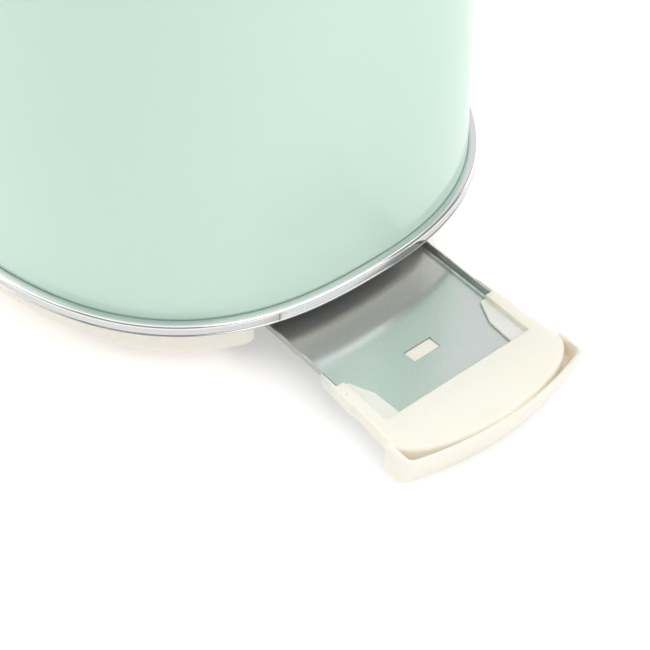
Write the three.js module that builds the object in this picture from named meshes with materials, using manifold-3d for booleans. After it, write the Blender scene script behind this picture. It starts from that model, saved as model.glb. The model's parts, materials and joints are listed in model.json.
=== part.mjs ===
// Two-slice toaster with its crumb tray drawn out, in millimetres, +Z up.
// X runs along the toaster: the tray comes out at +X, the lever and controls are at -X.
import * as THREE from 'three';
import { mergeVertices } from 'three/addons/utils/BufferGeometryUtils.js';
import Module from 'manifold-3d';

const wasm = await Module();
wasm.setup();

// ---------------------------------------------------------------- driving dimensions

const GAP = 0.35;               // between pieces that touch

// Housing, an oval in plan: |x / HALF_LENGTH|^POWER_X + |y / HALF_WIDTH|^POWER_Y = 1
const HALF_LENGTH = 150.4;
const HALF_WIDTH = 100;
const POWER_X = 3.06;
const POWER_Y = 2.47;
const PLAN_STEPS = 52;
const SHELL_BOTTOM = 28;
const SHELL_TOP = 200;
const SHELL_WALL = 1;
const SHELL_TAPER = 0.02;       // inward lean of the side wall
const SHOULDER_INSET = 41.5;
const SHOULDER_POWER = 5;       // the higher, the later the wall turns into the shoulder
const SHOULDER_STEPS = 9;

// Chrome trim band round the foot of the housing
const TRIM_BOTTOM = 23.5;
const TRIM_PROUD = 3.74;

// Ivory base pan
const PAN_BOTTOM = 5;
const PAN_FLOOR = 2;
const PAN_WALL = 2;
const PAN_TOP = 23.1;
const RIM_BOTTOM = 22.2;        // the trim sits on the pan's outward rim
const RIM_REACH = 2.6;
const SKIRT_EDGE = 9.2;         // lowest line of the visible skirt
const SKIRT_INSET = 3.8;

// Feet
const FOOT_RADIUS = 10;
const FOOT_X = 95;
const FOOT_Y = 56;

// Crumb tray, drawn out
const SHEET = 0.5;
const SHEET_BOTTOM = 10.55;
const SHEET_HALF = 34.35;
const SHEET_BACK = -15;
const SHEET_FRONT = 205;
const FLANGE_HEIGHT = 3.7;
const FLANGE_FRONT = 177;
const HANDLE_BACK = 207;        // back of the front panel's side returns
const HANDLE_HALF = 39.2;
const HANDLE_BOTTOM = 1.8;
const HANDLE_TOP = 15.2;
const DECK_TOP = 14.4;
const DECK_BACK = 199;
const DECK_THICK = 1.9;
const MOUTH_HALF = 40.5;        // the base is open here for the tray, below a bridge under the trim
const MOUTH_BACK = 122;
const MOUTH_TOP = 18;
const CHANNEL_FLOOR = 8.5;

// Toasting chamber
const SLOT_Y = 21;              // middle of each bread slot
const SLOT_WIDTH = 28;
const SLOT_HALF_LENGTH = 70;
const END_PLATE_X = 78;
const END_PLATE_HALF = 48;
const CHASSIS_FLOOR = 24;
const CHAMBER_TOP = 190;
const BOARD_Y = 40;
const GUIDE_OFFSET = 11;        // bread guide from the middle of its slot
const GUIDE_FOOT = 64;
const GUIDE_TOP = 184;

// Carriage, up
const CARRIAGE_Z = 112;
const CARRIAGE_TRAVEL = 58;
const LEVER_Z = 138;
const ROD_X = -92;
const ROD_Y = 24;
const ROD_RADIUS = 2.5;

// Controls on the -X end
const KNOB_Z = 52;
const KNOB_RADIUS = 15;
const BUTTON_Y = 28;
const BUTTON_RADIUS = 5.5;
const BUTTON_HEIGHTS = { cancel: 86, reheat: 104, defrost: 122 };
const BOARD_X = -134;

// ---------------------------------------------------------------- materials

const finish = (color, roughness, metalness) =>
  new THREE.MeshStandardMaterial({ color, roughness, metalness });

const MATERIAL = {
  paint: finish(0xcdebdb, 0.18, 0),
  chrome: finish(0xe4e4e6, 0.1, 1),
  ivory: finish(0xf2eedd, 0.42, 0),
  zinc: finish(0xb9c4bf, 0.38, 1),
  steel: finish(0xb4b8ba, 0.45, 1),
  mica: finish(0xcbb892, 0.6, 0),
  nichrome: finish(0x8c8078, 0.5, 1),
  rubber: finish(0x3a3a3a, 0.85, 0),
  copper: finish(0xb4683c, 0.4, 1),
  board: finish(0x2f6b45, 0.6, 0),
  black: finish(0x2b2b2c, 0.55, 0),
};

// ---------------------------------------------------------------- solids

function toManifold(geometry) {
  const bare = geometry.index ? geometry.toNonIndexed() : geometry.clone();
  for (const name of Object.keys(bare.attributes)) {
    if (name !== 'position') bare.deleteAttribute(name);
  }
  const merged = mergeVertices(bare, 1e-5);
  return new wasm.Manifold(new wasm.Mesh({
    numProp: 3,
    vertProperties: new Float32Array(merged.attributes.position.array),
    triVerts: new Uint32Array(merged.index.array),
  }));
}

function toGeometry(solid) {
  const mesh = solid.getMesh();
  const geometry = new THREE.BufferGeometry();
  geometry.setAttribute('position', new THREE.BufferAttribute(mesh.vertProperties, 3));
  geometry.setIndex(new THREE.BufferAttribute(mesh.triVerts, 1));
  return geometry;
}

const join = (...solids) => solids.reduce((whole, solid) => whole.add(solid));
const cut = (whole, ...tools) => tools.reduce((rest, tool) => rest.subtract(tool), whole);

function box(x0, x1, y0, y1, z0, z1) {
  const geometry = new THREE.BoxGeometry(x1 - x0, y1 - y0, z1 - z0);
  geometry.translate((x0 + x1) / 2, (y0 + y1) / 2, (z0 + z1) / 2);
  return toManifold(geometry);
}

function cylinderZ(x, y, z0, z1, radius, steps = 24, topRadius = radius) {
  const geometry = new THREE.CylinderGeometry(topRadius, radius, z1 - z0, steps);
  geometry.rotateX(Math.PI / 2);
  geometry.translate(x, y, (z0 + z1) / 2);
  return toManifold(geometry);
}

// A cylinder along X; outerRadius is the radius at its -X end
function cylinderX(y, z, x0, x1, radius, steps = 24, outerRadius = radius) {
  const geometry = new THREE.CylinderGeometry(radius, outerRadius, x1 - x0, steps);
  geometry.rotateZ(-Math.PI / 2);
  geometry.translate((x0 + x1) / 2, y, z);
  return toManifold(geometry);
}

// An outline is a list of [x, y], counter-clockwise
function prism(outline, z0, z1) {
  const shape = new THREE.Shape(outline.map(([x, y]) => new THREE.Vector2(x, y)));
  const geometry = new THREE.ExtrudeGeometry(shape, { depth: z1 - z0, bevelEnabled: false });
  geometry.translate(0, 0, z0);
  return toManifold(geometry);
}

// A solid through rings of equal count, each { outline, z }, from the bottom up
function loft(rings) {
  const count = rings[0].outline.length;
  const points = rings.flatMap(({ outline, z }) => outline.map(([x, y]) => [x, y, z]));
  const faces = [];
  for (let level = 0; level + 1 < rings.length; level += 1) {
    for (let i = 0; i < count; i += 1) {
      const a = level * count + i;
      const b = level * count + ((i + 1) % count);
      faces.push([a, b, b + count], [a, b + count, a + count]);
    }
  }
  const capOf = (ring) => THREE.ShapeUtils.triangulateShape(
    ring.outline.map(([x, y]) => new THREE.Vector2(x, y)), []);
  for (const [a, b, c] of capOf(rings[0])) faces.push([c, b, a]);
  const last = (rings.length - 1) * count;
  for (const [a, b, c] of capOf(rings.at(-1))) faces.push([last + a, last + b, last + c]);
  return meshOf(points, faces);
}

function meshOf(points, faces) {
  const geometry = new THREE.BufferGeometry();
  geometry.setAttribute('position', new THREE.Float32BufferAttribute(points.flat(), 3));
  geometry.setIndex(faces.flat());
  return toManifold(geometry);
}

// A closed section of [offset, z] points swept round the housing's outline
function band(section, steps = PLAN_STEPS) {
  const rows = section.map(([offset, z]) => ovalOutline(offset, steps).map(([x, y]) => [x, y, z]));
  const faces = [];
  for (let row = 0; row < rows.length; row += 1) {
    const next = (row + 1) % rows.length;
    for (let i = 0; i < steps; i += 1) {
      const j = (i + 1) % steps;
      const [a, b] = [row * steps + i, row * steps + j];
      const [c, d] = [next * steps + j, next * steps + i];
      faces.push([a, b, c], [a, c, d]);
    }
  }
  return meshOf(rows.flat(), faces);
}

// ---------------------------------------------------------------- outlines

const power = (value, exponent) => Math.sign(value) * Math.abs(value) ** exponent;

// The housing's oval, shrunk on both half axes
function shrunkOval(inset, steps = PLAN_STEPS) {
  return Array.from({ length: steps }, (_, i) => {
    const turn = (2 * Math.PI * i) / steps;
    return [
      (HALF_LENGTH - inset) * power(Math.cos(turn), 2 / POWER_X),
      (HALF_WIDTH - inset) * power(Math.sin(turn), 2 / POWER_Y),
    ];
  });
}

// The housing's oval, moved out along its own normal
function ovalOutline(offset, steps = PLAN_STEPS) {
  return shrunkOval(0, steps).map(([x, y]) => {
    const slopeX = (POWER_X / HALF_LENGTH) * power(x / HALF_LENGTH, POWER_X - 1);
    const slopeY = (POWER_Y / HALF_WIDTH) * power(y / HALF_WIDTH, POWER_Y - 1);
    const length = Math.hypot(slopeX, slopeY);
    return [x + (offset * slopeX) / length, y + (offset * slopeY) / length];
  });
}

const endOfOval = (y) => HALF_LENGTH * (1 - Math.abs(y / HALF_WIDTH) ** POWER_Y) ** (1 / POWER_X);

// A rounded slot, halfX long and halfY wide, about a centre on the Y axis
function roundedSlot(halfX, halfY, centreY, radius, steps = 5) {
  const corners = [[1, -1, -90], [1, 1, 0], [-1, 1, 90], [-1, -1, 180]];
  return corners.flatMap(([sx, sy, start]) => Array.from({ length: steps }, (_, i) => {
    const turn = THREE.MathUtils.degToRad(start + (90 * i) / (steps - 1));
    return [
      sx * (halfX - radius) + radius * Math.cos(turn),
      centreY + sy * (halfY - radius) + radius * Math.sin(turn),
    ];
  }));
}

// ---------------------------------------------------------------- housing

// A skin that lies on the housing, from a clearance out to a thickness
function housingSkin(thickness) {
  const outer = housingSolid(-thickness - GAP, SHELL_BOTTOM, SHELL_TOP + thickness);
  return cut(outer, housingSolid(-GAP, SHELL_BOTTOM - 1, SHELL_TOP + GAP));
}

// Rings up the housing's side and over its shoulder
function housingSolid(wall, bottom, top, steps = SHOULDER_STEPS) {
  const rings = [{ outline: shrunkOval(wall), z: bottom }];
  for (let step = 1; step <= steps; step += 1) {
    const turn = (Math.PI / 2) * (step / steps);
    const rise = Math.sin(turn) ** (2 / SHOULDER_POWER);
    const z = SHELL_BOTTOM + rise * (top - SHELL_BOTTOM);
    const inset = wall + SHELL_TAPER * (z - SHELL_BOTTOM) + SHOULDER_INSET * (1 - Math.cos(turn));
    rings.push({ outline: shrunkOval(inset), z });
  }
  return loft(rings);
}

const TOP_OPENING_INSET = 49.5;
const TOP_PLATE_INSET = 46.5;

function bodyShell() {
  const outer = housingSolid(0, SHELL_BOTTOM, SHELL_TOP);
  const inner = housingSolid(SHELL_WALL, SHELL_BOTTOM - 1, SHELL_TOP - SHELL_WALL, SHOULDER_STEPS - 3);
  const opening = prism(shrunkOval(TOP_OPENING_INSET), SHELL_TOP - 8, SHELL_TOP + 2);
  const leverSlot = box(-160, -140, -3.2, 3.2, LEVER_Z - CARRIAGE_TRAVEL - 5, LEVER_Z + 5);
  const dialHole = cylinderX(0, KNOB_Z, -160, -140, 4.2);
  const buttonHoles = Object.values(BUTTON_HEIGHTS).map((z) =>
    cylinderX(BUTTON_Y, z, -160, -140, BUTTON_RADIUS + 0.6, 20));
  return cut(outer, inner, opening, leverSlot, dialHole, ...buttonHoles);
}

const PLATE_BOTTOM = SHELL_TOP + GAP;
const PLATE_THICK = 1.2;
const COLLAR_DEPTH = 9;

function topPlate() {
  const plate = prism(shrunkOval(TOP_PLATE_INSET), PLATE_BOTTOM, PLATE_BOTTOM + PLATE_THICK);
  const parts = [plate];
  const holes = [];
  for (const side of [-1, 1]) {
    const outer = roundedSlot(SLOT_HALF_LENGTH + 1.2, SLOT_WIDTH / 2 + 1.2, side * SLOT_Y, 7);
    const inner = roundedSlot(SLOT_HALF_LENGTH, SLOT_WIDTH / 2, side * SLOT_Y, 6);
    parts.push(prism(outer, PLATE_BOTTOM - COLLAR_DEPTH, PLATE_BOTTOM + 0.5));
    holes.push(prism(inner, PLATE_BOTTOM - COLLAR_DEPTH - 1, PLATE_BOTTOM + PLATE_THICK + 1));
  }
  return cut(join(...parts), ...holes);
}

function baseTrim() {
  const section = [
    [-2, TRIM_BOTTOM],
    [TRIM_PROUD - 0.6, TRIM_BOTTOM],
    [TRIM_PROUD, TRIM_BOTTOM + 0.6],
    [TRIM_PROUD, TRIM_BOTTOM + 3.4],
    [TRIM_PROUD - 0.4, TRIM_BOTTOM + 4.3],
    [TRIM_PROUD - 1.2, TRIM_BOTTOM + 4.6],
    [TRIM_PROUD - 1.8, SHELL_BOTTOM - GAP],
    [-2, SHELL_BOTTOM - GAP],
  ];
  return band(section);
}

// ---------------------------------------------------------------- base

function basePan() {
  const outer = loft([
    { outline: ovalOutline(-14), z: PAN_BOTTOM },
    { outline: ovalOutline(-8), z: PAN_BOTTOM + 1.2 },
    { outline: ovalOutline(-SKIRT_INSET), z: SKIRT_EDGE },
    { outline: ovalOutline(-3.1), z: 15 },
    { outline: ovalOutline(-2.6), z: PAN_TOP },
  ]);
  const rim = prism(ovalOutline(RIM_REACH), RIM_BOTTOM, PAN_TOP);
  const inner = loft([
    { outline: ovalOutline(-14 - PAN_WALL), z: PAN_BOTTOM + PAN_FLOOR },
    { outline: ovalOutline(-SKIRT_INSET - PAN_WALL), z: SKIRT_EDGE + 1.5 },
    { outline: ovalOutline(-2.6 - PAN_WALL), z: PAN_TOP + 1 },
  ]);
  const floorTop = PAN_BOTTOM + PAN_FLOOR;
  const ribs = [-1, 1].flatMap((side) => [
    box(-84, MOUTH_BACK, side * 22 - 0.8, side * 22 + 0.8, floorTop - 1, SHEET_BOTTOM - GAP),
    box(-84, 98, side * 35.85 - 0.75, side * 35.85 + 0.75, floorTop - 1, 15),
  ]);
  const stops = box(-86, -84, -36.6, 36.6, floorTop - 1, 15);
  const channel = box(96, MOUTH_BACK + 1, -38.6, 38.6, CHANNEL_FLOOR, PAN_TOP - 1);
  const bosses = footPlaces().map(([x, y]) =>
    cylinderZ(x, y, floorTop - 1, CHASSIS_FLOOR - GAP, 6, 20));
  const mouth = box(MOUTH_BACK, 170, -MOUTH_HALF, MOUTH_HALF, 0, MOUTH_TOP);
  const glandHole = cylinderZ(-112, 40, 0, 12, 6.5, 24);
  const screwHoles = footPlaces().map(([x, y]) => cylinderZ(x, y, 0, 30, 2.3, 16));
  const vents = [-1, 1].flatMap((side) => [-60, -40, -20, 0, 20, 40].map((x) =>
    box(x, x + 8, side * 62 - 12, side * 62 + 12, 0, 12)));
  const bowl = cut(join(outer, rim), inner, channel);
  return cut(join(bowl, ...ribs, stops, ...bosses), mouth, glandHole, ...screwHoles, ...vents);
}

const footPlaces = () => [[FOOT_X, FOOT_Y], [FOOT_X, -FOOT_Y], [-FOOT_X, FOOT_Y], [-FOOT_X, -FOOT_Y]];

function foot(x, y) {
  const pad = cylinderZ(x, y, 0, PAN_BOTTOM - GAP, FOOT_RADIUS, 28, FOOT_RADIUS - 1.2);
  return cut(pad, cylinderZ(x, y, 1.6, 9, 5, 20));
}

function baseScrew(x, y) {
  const head = cylinderZ(x, y, 2.4, PAN_BOTTOM - GAP, 3.8, 16);
  const shank = cylinderZ(x, y, 2.6, 22, 1.8, 12);
  return join(head, shank);
}

function cordGland() {
  const flange = cylinderZ(-112, 40, PAN_BOTTOM - 2.2, PAN_BOTTOM - GAP, 9, 24);
  const collar = cylinderZ(-112, 40, PAN_BOTTOM - 1, PAN_BOTTOM + 8, 6.1, 24);
  return cut(join(flange, collar), cylinderZ(-112, 40, 0, 20, 3.6, 20));
}

// ---------------------------------------------------------------- crumb tray

function traySheet() {
  const top = SHEET_BOTTOM + SHEET;
  const floor = box(SHEET_BACK, SHEET_FRONT, -SHEET_HALF, SHEET_HALF, SHEET_BOTTOM, top);
  const sides = [-1, 1].map((side) => {
    const [y0, y1] = [side * SHEET_HALF, side * (SHEET_HALF - SHEET)].sort((a, b) => a - b);
    return box(SHEET_BACK, FLANGE_FRONT, y0, y1, SHEET_BOTTOM, SHEET_BOTTOM + FLANGE_HEIGHT);
  });
  const back = box(SHEET_BACK, SHEET_BACK + SHEET, -SHEET_HALF, SHEET_HALF,
    SHEET_BOTTOM, SHEET_BOTTOM + FLANGE_HEIGHT);
  const detent = box(177.9, 183.7, -6, 6, SHEET_BOTTOM - 1, top + 1);
  return cut(join(floor, ...sides, back), detent);
}

const FRONT_ARC_STEPS = 14;

// Front panel outline: straight returns, small corners and a bowed front
function panelOutline(inset, front, sag, back = HANDLE_BACK) {
  const half = HANDLE_HALF - inset;
  const points = [[back, -half]];
  const corner = front - inset - sag;
  points.push([corner - 3, -half], [corner - 0.9, -half + 0.5]);
  for (let i = 0; i <= FRONT_ARC_STEPS; i += 1) {
    const across = -1 + (2 * i) / FRONT_ARC_STEPS;
    points.push([front - inset - sag * across ** 2, across * (half - 1.8)]);
  }
  points.push([corner - 0.9, half - 0.5], [corner - 3, half], [back, half]);
  return points;
}

// The deck's front edge, half an ellipse
const DECK_REACH = 14.4;
const DECK_HALF = 37.6;

function deckOutline(inset = 0, back = DECK_BACK) {
  const steps = 18;
  const arc = Array.from({ length: steps + 1 }, (_, i) => {
    const turn = -Math.PI / 2 + (Math.PI * i) / steps;
    return [
      HANDLE_BACK + 0.5 + (DECK_REACH - inset) * Math.cos(turn),
      (DECK_HALF - inset) * Math.sin(turn),
    ];
  });
  return [[back, -DECK_HALF + inset], ...arc, [back, DECK_HALF - inset]];
}

const PANEL_FRONT = 225;
const PANEL_FRONT_LOW = 221.2;
const PANEL_WALL = 1.6;

function trayHandle() {
  const panel = loft([
    { outline: panelOutline(0, PANEL_FRONT_LOW, 6.0), z: HANDLE_BOTTOM },
    { outline: panelOutline(0, PANEL_FRONT, 5.2), z: HANDLE_TOP - 0.8 },
    { outline: panelOutline(0.5, PANEL_FRONT, 5.2), z: HANDLE_TOP },
  ]);
  const inside = panelOutline(PANEL_WALL, PANEL_FRONT, 5.2, HANDLE_BACK - 1);
  const deckDrop = prism(inside, DECK_TOP, HANDLE_TOP + 1);
  const trough = cut(
    loft([
      { outline: panelOutline(PANEL_WALL, PANEL_FRONT_LOW + 1.2, 6.0, HANDLE_BACK - 1), z: 8.5 },
      { outline: inside, z: HANDLE_TOP + 1 },
    ]),
    prism(deckOutline(), 0, HANDLE_TOP + 2));
  const under = prism(deckOutline(1.8, HANDLE_BACK - 2), 0, DECK_TOP - DECK_THICK);
  const front = cut(panel, deckDrop, trough, under);

  const deck = box(DECK_BACK, HANDLE_BACK + 2, -36, 36, DECK_TOP - DECK_THICK, DECK_TOP);
  const tongue = join(
    box(175, HANDLE_BACK + 1, -8, 8, SHEET_BOTTOM - GAP - 1.8, SHEET_BOTTOM - GAP),
    box(SHEET_FRONT + GAP, HANDLE_BACK + 1, -8, 8, SHEET_BOTTOM - GAP - 1, DECK_TOP - 0.5));
  const boss = box(178.25, 183.35, -5.65, 5.65, SHEET_BOTTOM - GAP - 1, SHEET_BOTTOM + SHEET - 0.1);
  const arms = [-1, 1].map((side) => trayArm(side));
  const slotForSheet = box(160, SHEET_FRONT + GAP, -SHEET_HALF - GAP, SHEET_HALF + GAP,
    SHEET_BOTTOM - GAP, SHEET_BOTTOM + SHEET + GAP);
  const slotForFlange = box(160, FLANGE_FRONT + GAP, -SHEET_HALF - GAP, SHEET_HALF + GAP,
    SHEET_BOTTOM - GAP, SHEET_BOTTOM + FLANGE_HEIGHT + 2);
  return join(cut(join(front, deck, ...arms), slotForSheet, slotForFlange), tongue, boss);
}

const WEB_TOP = 12.9;

// One arm: an ear outside the sheet's side, a block over its edge and a thin web on its floor
function trayArm(side) {
  const place = (outline) => {
    const points = outline.map(([x, y]) => [x, side * y]);
    return side > 0 ? points : points.reverse();
  };
  const outer = prism(place([
    [169.4, 34.8], [176, 35.6], [186.4, 36.4], [187.4, 35.9], [189, 35.9],
    [HANDLE_BACK + 1, 37.4], [HANDLE_BACK + 1, 31.7], [177.6, 31.7], [177.6, 34.6], [169.4, 34.6],
  ].reverse()), SHEET_BOTTOM - 1.6, DECK_TOP);
  const web = prism(place([
    [175.8, 30.4], [186.5, 25.6], [197.4, 25], [DECK_BACK + 1, 25], [DECK_BACK + 1, 32.2], [177.6, 32.2],
  ]), SHEET_BOTTOM + SHEET + GAP, WEB_TOP);
  return join(outer, web);
}

function trayCatch() {
  const leaf = box(96, 116, -4, 4, 16.4, 17);
  const nose = box(112.4, 117.4, -4, 4, SHEET_BOTTOM + FLANGE_HEIGHT + 0.6, 17);
  const post = box(96, 100, -4, 4, 16.4, CHASSIS_FLOOR - GAP);
  return join(leaf, nose, post);
}

// ---------------------------------------------------------------- chassis

function chassisFloor() {
  const plate = prism(ovalOutline(-5), CHASSIS_FLOOR, CHASSIS_FLOOR + 1);
  const opening = box(-72, 72, -33, 33, 20, 30);
  const hoppers = [-1, 1].map((side) => {
    const [y0, y1] = [side * 33, side * 34].sort((a, b) => a - b);
    return box(-73, 73, y0, y1, SHEET_BOTTOM + FLANGE_HEIGHT + 0.8, CHASSIS_FLOOR + 0.5);
  });
  return cut(join(plate, ...hoppers), opening);
}

const PLATE_FOOT = CHASSIS_FLOOR + 1 + GAP;

function endPlate(side) {
  const [x0, x1] = side > 0 ? [END_PLATE_X, END_PLATE_X + 1] : [-END_PLATE_X - 1, -END_PLATE_X];
  const plate = box(x0, x1, -END_PLATE_HALF, END_PLATE_HALF, PLATE_FOOT, CHAMBER_TOP);
  const foot = side > 0
    ? box(x0, x1 + 14, -END_PLATE_HALF, END_PLATE_HALF, PLATE_FOOT, PLATE_FOOT + 1)
    : box(x0 - 6, x1, -END_PLATE_HALF, END_PLATE_HALF, PLATE_FOOT, PLATE_FOOT + 1);
  const holes = [-1, 1].map((bread) =>
    box(x0 - 1, x1 + 1, bread * SLOT_Y - 2.6, bread * SLOT_Y + 2.6,
      CARRIAGE_Z - CARRIAGE_TRAVEL - 4, CARRIAGE_Z + 14));
  const vents = [-30, 0, 30].map((y) => box(x0 - 1, x1 + 1, y - 6, y + 6, 160, 166));
  return cut(join(plate, foot), ...(side < 0 ? holes : []), ...vents);
}

function reflector(side) {
  const y = side * 46;
  const length = END_PLATE_X - GAP;
  const sheet = box(-length, length, y - 0.4, y + 0.4, PLATE_FOOT, CHAMBER_TOP - 2);
  const fold = side > 0
    ? box(-length, length, y - 8, y, CHAMBER_TOP - 2.8, CHAMBER_TOP - 2)
    : box(-length, length, y, y + 8, CHAMBER_TOP - 2.8, CHAMBER_TOP - 2);
  const slits = [-50, -25, 0, 25, 50].map((x) => box(x - 9, x + 9, y - 2, y + 2, 40, 44));
  return cut(join(sheet, fold), ...slits);
}

const BOARD_FOOT = 56;
const BOARD_TOP = 182;

function elementBoard(y) {
  const board = box(-74, 74, y - 0.5, y + 0.5, BOARD_FOOT, BOARD_TOP);
  const notches = [-1, 1].flatMap((end) => [70, 100, 130, 160].map((z) =>
    box(end * 74 - 2.5, end * 74 + 2.5, y - 1, y + 1, z - 3, z + 3)));
  return cut(board, ...notches);
}

// A ribbon that runs to and fro over one face of its board
function heatingWire(face, side) {
  const runs = 9;
  const [low, high, half, ribbon] = [66, 172, 66, 1.6];
  const pitch = (high - low) / (runs - 1);
  const bars = [];
  for (let i = 0; i < runs; i += 1) {
    const z = low + i * pitch;
    bars.push([-half, half, z - ribbon / 2, z + ribbon / 2]);
    if (i + 1 < runs) {
      const x = i % 2 ? -half : half - ribbon;
      bars.push([x, x + ribbon, z, z + pitch]);
    }
  }
  const [y0, y1] = side > 0 ? [face + GAP, face + GAP + 0.5] : [face - GAP - 0.5, face - GAP];
  return join(...bars.map(([x0, x1, z0, z1]) => box(x0, x1, y0, y1, z0, z1)));
}

const WIRE = 1.8;

// A wire cage that holds the bread upright
function breadGuide(y) {
  const [half, columns, rows] = [66, 6, 3];
  const pitchX = (2 * half - WIRE) / columns;
  const pitchZ = (GUIDE_TOP - GUIDE_FOOT - WIRE) / rows;
  const gaps = [];
  for (let column = 0; column < columns; column += 1) {
    for (let row = 0; row < rows; row += 1) {
      const x = -half + WIRE + column * pitchX;
      const z = GUIDE_FOOT + WIRE + row * pitchZ;
      gaps.push(box(x, x + pitchX - WIRE, y - WIRE, y + WIRE, z, z + pitchZ - WIRE));
    }
  }
  return cut(box(-half, half, y - WIRE / 2, y + WIRE / 2, GUIDE_FOOT, GUIDE_TOP), ...gaps);
}

// ---------------------------------------------------------------- carriage

function breadRack(side) {
  const y = side * SLOT_Y;
  const rail = box(-82.6, 72, y - 1, y + 1, CARRIAGE_Z + 2, CARRIAGE_Z + 6);
  const prongs = [];
  for (let x = -60; x <= 60; x += 20) {
    prongs.push(box(x - 1, x + 1, y - 6, y + 6, CARRIAGE_Z + 5, CARRIAGE_Z + 7));
  }
  return join(rail, ...prongs);
}

function carriageBracket() {
  const shelf = box(-97, -83, -34, 34, CARRIAGE_Z, CARRIAGE_Z + 3);
  const upright = box(-84.6, -83, -34, 34, CARRIAGE_Z, CARRIAGE_Z + 12);
  const post = box(-97, -92, -4, 4, CARRIAGE_Z, LEVER_Z + 4);
  const bushes = [-1, 1].map((side) => cylinderZ(ROD_X, side * ROD_Y, CARRIAGE_Z, CARRIAGE_Z + 12, 4.8, 20));
  const bores = [-1, 1].map((side) =>
    cylinderZ(ROD_X, side * ROD_Y, CARRIAGE_Z - 1, CARRIAGE_Z + 20, ROD_RADIUS + 0.4, 20));
  return cut(join(shelf, upright, post, ...bushes), ...bores);
}

const leverArm = () => box(-163, -97 - GAP, -1.5, 1.5, LEVER_Z - 3, LEVER_Z + 3);

function leverKnob() {
  const rings = [[-176, 5.5, 11], [-174, 7.5, 13.5], [-162, 7.5, 13.5], [-155, 5.5, 9.5]];
  const steps = 24;
  const oval = (halfZ, halfY) => Array.from({ length: steps }, (_, i) => {
    const turn = (2 * Math.PI * i) / steps;
    return [halfZ * power(Math.cos(turn), 2 / 3), halfY * power(Math.sin(turn), 2 / 3)];
  });
  const upright = loft(rings.map(([x, halfZ, halfY]) => ({ outline: oval(halfZ, halfY), z: x })));
  const lying = upright.rotate([0, 90, 0]).translate([0, 0, LEVER_Z]);
  return cut(lying, box(-163 - GAP, -150, -1.5 - GAP, 1.5 + GAP, LEVER_Z - 3 - GAP, LEVER_Z + 3 + GAP));
}

const armaturePlate = () => box(-108, -97 - GAP, -9, 9, CARRIAGE_Z, CARRIAGE_Z + 2.5);

const MAGNET_X = -104;

function magnetCore() {
  const core = cylinderZ(MAGNET_X, 0, PLATE_FOOT, CARRIAGE_Z - CARRIAGE_TRAVEL - GAP, 3.6, 20);
  const yoke = box(MAGNET_X - 10, MAGNET_X + 10, -11, 11, PLATE_FOOT, PLATE_FOOT + 1.6);
  return join(core, yoke);
}

function magnetCoil() {
  const bottom = PLATE_FOOT + 1.6 + GAP;
  const top = CARRIAGE_Z - CARRIAGE_TRAVEL - 3;
  const winding = cylinderZ(MAGNET_X, 0, bottom, top, 8.4, 28);
  const flanges = [bottom, top - 1.2].map((z) => cylinderZ(MAGNET_X, 0, z, z + 1.2, 9.6, 28));
  return cut(join(winding, ...flanges), cylinderZ(MAGNET_X, 0, 0, 90, 3.6 + GAP, 20));
}

const HANGER_Z = CHAMBER_TOP - 6;

function guideRod(side) {
  return cylinderZ(ROD_X, side * ROD_Y, PLATE_FOOT, HANGER_Z - GAP, ROD_RADIUS, 16);
}

const topBracket = () => box(-101, -79 - GAP, -30, 30, HANGER_Z, HANGER_Z + 2);

const SPRING_RADIUS = 4;
const SPRING_WIRE = 0.5;        // radius of the wire

class Helix extends THREE.Curve {
  constructor(x, y, z0, z1, radius, turns) {
    super();
    Object.assign(this, { x, y, z0, z1, radius, turns });
  }

  getPoint(t, target = new THREE.Vector3()) {
    const turn = 2 * Math.PI * this.turns * t;
    return target.set(
      this.x + this.radius * Math.cos(turn),
      this.y + this.radius * Math.sin(turn),
      this.z0 + t * (this.z1 - this.z0),
    );
  }
}

// A compression spring round the left guide rod, under the carriage
function returnSpring() {
  const turns = 12;
  const wire = new THREE.Shape();
  wire.absarc(0, 0, SPRING_WIRE, 0, 2 * Math.PI);
  const z0 = PLATE_FOOT + SPRING_WIRE;
  const z1 = CARRIAGE_Z - GAP - SPRING_WIRE;
  const path = new Helix(ROD_X, ROD_Y, z0, z1, SPRING_RADIUS, turns);
  const geometry = new THREE.ExtrudeGeometry(wire, { steps: turns * 8, curveSegments: 2, extrudePath: path });
  return toManifold(geometry);
}

// ---------------------------------------------------------------- controls

// Where the housing's end face lies at a height, on the -X side
function endFace(y, z) {
  return -(endOfOval(y) - SHELL_TAPER * (z - SHELL_BOTTOM));
}

function controlBoard() {
  const lower = box(BOARD_X, BOARD_X + 1.6, -24, 44, PLATE_FOOT, 70);
  const upper = box(BOARD_X, BOARD_X + 1.6, 12, 44, PLATE_FOOT, 132);
  return join(lower, upper);
}

function switchBlock(z) {
  return box(BOARD_X - 3.5, BOARD_X - GAP, BUTTON_Y - 4, BUTTON_Y + 4, z - 4, z + 4);
}

function button(z) {
  const face = endFace(BUTTON_Y, z);
  const cap = cylinderX(BUTTON_Y, z, face - 3.2, face + 4, BUTTON_RADIUS, 20);
  const rim = cylinderX(BUTTON_Y, z, face - 3.9, face - 3.2, BUTTON_RADIUS, 20, BUTTON_RADIUS - 0.8);
  const stem = cylinderX(BUTTON_Y, z, face + 3, BOARD_X - 3.5 - 2.9, 2.2, 12);
  return join(cap, rim, stem);
}

function buttonRing(z) {
  const disc = cylinderX(BUTTON_Y, z, -170, -130, BUTTON_RADIUS + 2.2, 24);
  const hole = cylinderX(BUTTON_Y, z, -172, -128, BUTTON_RADIUS + 0.5, 24);
  return cut(housingSkin(1).intersect(disc), hole);
}

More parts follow.
